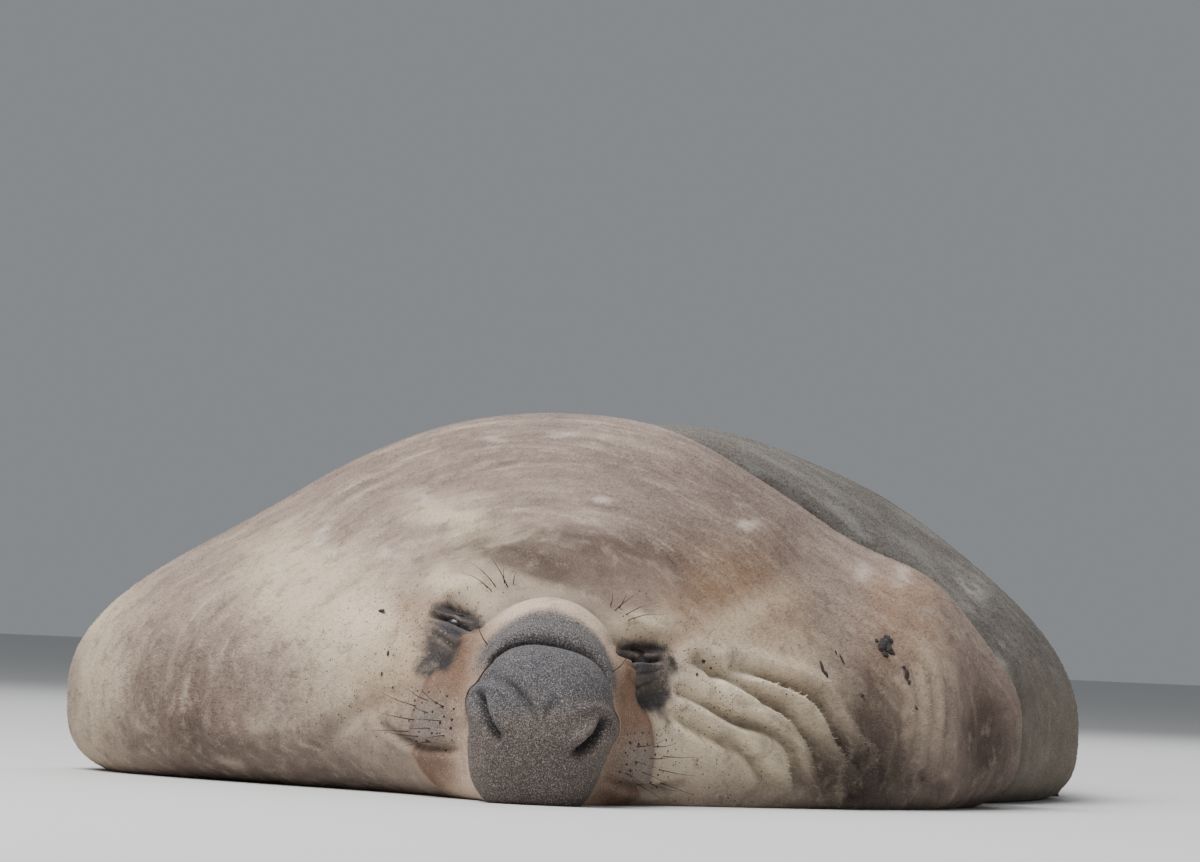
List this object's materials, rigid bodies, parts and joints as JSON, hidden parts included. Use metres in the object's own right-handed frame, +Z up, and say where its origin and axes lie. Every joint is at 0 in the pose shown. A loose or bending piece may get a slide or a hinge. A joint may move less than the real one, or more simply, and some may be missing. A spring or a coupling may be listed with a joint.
{
  "type": "elephant seal bull",
  "caption": "Life-size still model of a southern elephant seal bull asleep on its belly, with broad folded neck, swollen nose, closed eyes, fore flippers laid back and hind flippers spread",
  "frame": {"origin": "on the floor under the chest, where the belly rests", "axes": "+Z up, -Y the way the head faces, +X the animal's own left"},
  "size_m": [1.7551, 4.4221, 0.6324],
  "materials": {
    "hide": "dry short fur",
    "nose_hide": "dry wrinkled skin",
    "eye": "wet",
    "nail": "horn"
  },
  "bodies": {
    "root": {"head": "hide", "lower_jaw": "hide", "neck": "hide", "chest": "hide", "belly": "hide", "loins": "hide", "hips": "hide", "tail": "hide", "whisker_pad_right": "hide", "whisker_pad_left": "hide", "fore_flipper_right": "hide", "fore_flipper_left": "hide", "hind_flipper_right": "hide", "hind_flipper_left": "hide", "proboscis": "nose_hide", "eyelid_upper_right": "nose_hide", "eyelid_lower_right": "nose_hide", "eyelid_upper_left": "nose_hide", "eyelid_lower_left": "nose_hide", "eye_right": "eye", "eye_left": "eye", "nail_right_1": "nail", "nail_right_2": "nail", "nail_right_3": "nail", "nail_right_4": "nail", "nail_right_5": "nail", "nail_left_1": "nail", "nail_left_2": "nail", "nail_left_3": "nail", "nail_left_4": "nail", "nail_left_5": "nail"}
  },
  "joints": []
}
